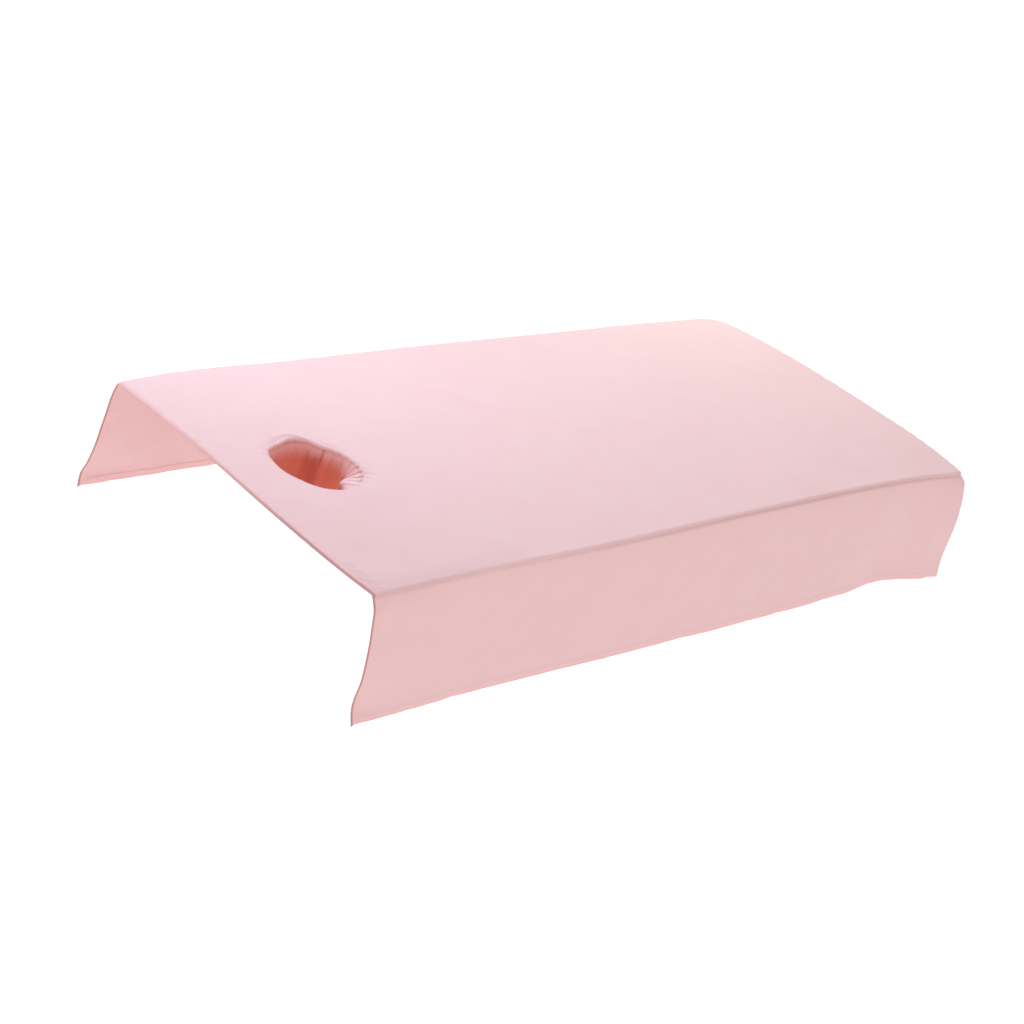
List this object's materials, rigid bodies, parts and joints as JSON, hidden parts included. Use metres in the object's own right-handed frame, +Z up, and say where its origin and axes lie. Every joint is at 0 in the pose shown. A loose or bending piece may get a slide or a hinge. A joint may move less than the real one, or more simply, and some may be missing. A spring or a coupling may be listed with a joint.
{
  "type": "massage table cover with face hole",
  "caption": "Fitted cotton cover for a massage table: flat top panel with a gathered face opening, hanging hemmed side and foot drops, open head end.",
  "frame": {"origin": "middle of the top panel's underside, the face that lies on the table", "axes": "+X to the foot end, +Y to the left side as seen from the head end looking to the foot, +Z up, out of the top panel's upper face"},
  "size_m": [1.9348, 0.8696, 0.2551],
  "materials": {
    "cotton": "matte plain-weave cotton, pale pink",
    "thread": "matte polyester sewing thread, pale pink",
    "elastic": "knitted elastic, off-white"
  },
  "bodies": {
    "cover_top": {"top_panel": "cotton", "face_hole_sleeve": "cotton", "face_hole_elastic": "elastic", "face_hole_rim_thread": "thread", "sleeve_hem_thread": "thread", "sleeve_side_thread": "thread", "head_hem_thread": "thread", "right_seam_thread": "thread", "right_seam_overlock": "thread", "left_seam_thread": "thread", "left_seam_overlock": "thread", "foot_seam_thread": "thread", "foot_seam_overlock": "thread"},
    "right_drop": {"right_drop_panel": "cotton", "right_drop_hem_thread": "thread", "right_drop_head_hem_thread": "thread", "right_drop_foot_hem_thread": "thread"},
    "left_drop": {"left_drop_panel": "cotton", "left_drop_hem_thread": "thread", "left_drop_head_hem_thread": "thread", "left_drop_foot_hem_thread": "thread"},
    "foot_drop": {"foot_drop_panel": "cotton", "foot_drop_hem_thread": "thread", "foot_drop_right_hem_thread": "thread", "foot_drop_left_hem_thread": "thread"}
  },
  "joints": [
    {"name": "right_drop_swing", "type": "hinge", "parent": "cover_top", "child": "right_drop", "pos_m": [0, -0.4, -0.006], "axis": [-1, 0, 0], "range_deg": [0, 170]},
    {"name": "left_drop_swing", "type": "hinge", "parent": "cover_top", "child": "left_drop", "pos_m": [0, 0.4, -0.006], "axis": [1, 0, 0], "range_deg": [0, 170]},
    {"name": "foot_drop_swing", "type": "hinge", "parent": "cover_top", "child": "foot_drop", "pos_m": [0.95, 0, -0.006], "axis": [0, -1, 0], "range_deg": [0, 170]}
  ]
}
